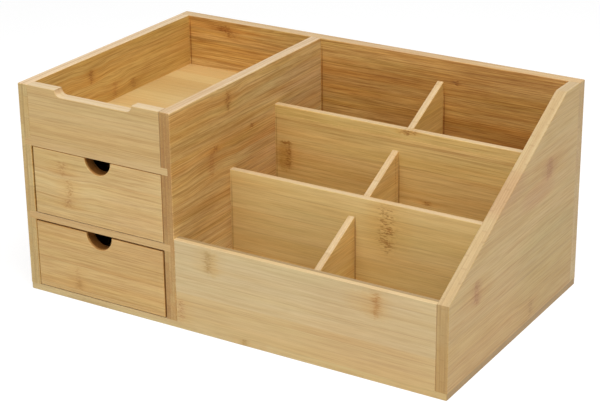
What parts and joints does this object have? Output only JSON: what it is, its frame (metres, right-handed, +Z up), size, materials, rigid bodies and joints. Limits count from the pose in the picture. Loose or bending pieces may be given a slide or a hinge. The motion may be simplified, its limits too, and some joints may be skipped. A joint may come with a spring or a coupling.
{
  "type": "desk organizer with drawers",
  "caption": "Bamboo desk organizer: an open tray over two drawers with finger notches, beside six compartments stepping down to a low front.",
  "frame": {"origin": "centre of the footprint, on the surface it stands on", "axes": "+X to the right along the width, +Y to the back, +Z up"},
  "size_m": [0.4, 0.242, 0.186],
  "materials": {
    "bamboo_fronts": "laminated bamboo, light natural, satin lacquer",
    "bamboo_sides": "laminated bamboo, natural, satin lacquer",
    "bamboo_back": "laminated bamboo, natural, satin lacquer",
    "bamboo_shelves": "laminated bamboo, natural, satin lacquer",
    "bamboo_dividers": "thin laminated bamboo, natural, satin lacquer",
    "bamboo_drawer_sides": "laminated bamboo, matt",
    "bamboo_ply": "thin bamboo ply, matt",
    "beech_dowels": "turned, unfinished",
    "zinc_screws": "zinc plated",
    "steel_brads": "bright steel"
  },
  "bodies": {
    "carcass": {"bottom_board": "bamboo_shelves", "back_panel": "bamboo_back", "left_side_panel": "bamboo_sides", "middle_partition": "bamboo_sides", "right_side_panel": "bamboo_sides", "tray_floor": "bamboo_shelves", "drawer_shelf": "bamboo_shelves", "tray_front": "bamboo_fronts", "low_front_board": "bamboo_fronts", "rear_row_divider": "bamboo_dividers", "front_row_divider": "bamboo_dividers", "rear_cell_divider": "bamboo_dividers", "middle_cell_divider": "bamboo_dividers", "front_cell_divider": "bamboo_dividers", "base_screws": "zinc_screws", "carcass_dowels": "beech_dowels"},
    "upper_drawer": {"upper_drawer_front": "bamboo_fronts", "upper_drawer_left_side": "bamboo_drawer_sides", "upper_drawer_right_side": "bamboo_drawer_sides", "upper_drawer_back": "bamboo_drawer_sides", "upper_drawer_bottom": "bamboo_ply", "upper_drawer_brads": "steel_brads"},
    "lower_drawer": {"lower_drawer_front": "bamboo_fronts", "lower_drawer_left_side": "bamboo_drawer_sides", "lower_drawer_right_side": "bamboo_drawer_sides", "lower_drawer_back": "bamboo_drawer_sides", "lower_drawer_bottom": "bamboo_ply", "lower_drawer_brads": "steel_brads"}
  },
  "joints": [
    {"name": "upper_drawer_slide", "type": "slide", "parent": "carcass", "child": "upper_drawer", "axis": [0, -1, 0], "range_m": [0, 0.19]},
    {"name": "lower_drawer_slide", "type": "slide", "parent": "carcass", "child": "lower_drawer", "axis": [0, -1, 0], "range_m": [0, 0.19]}
  ]
}
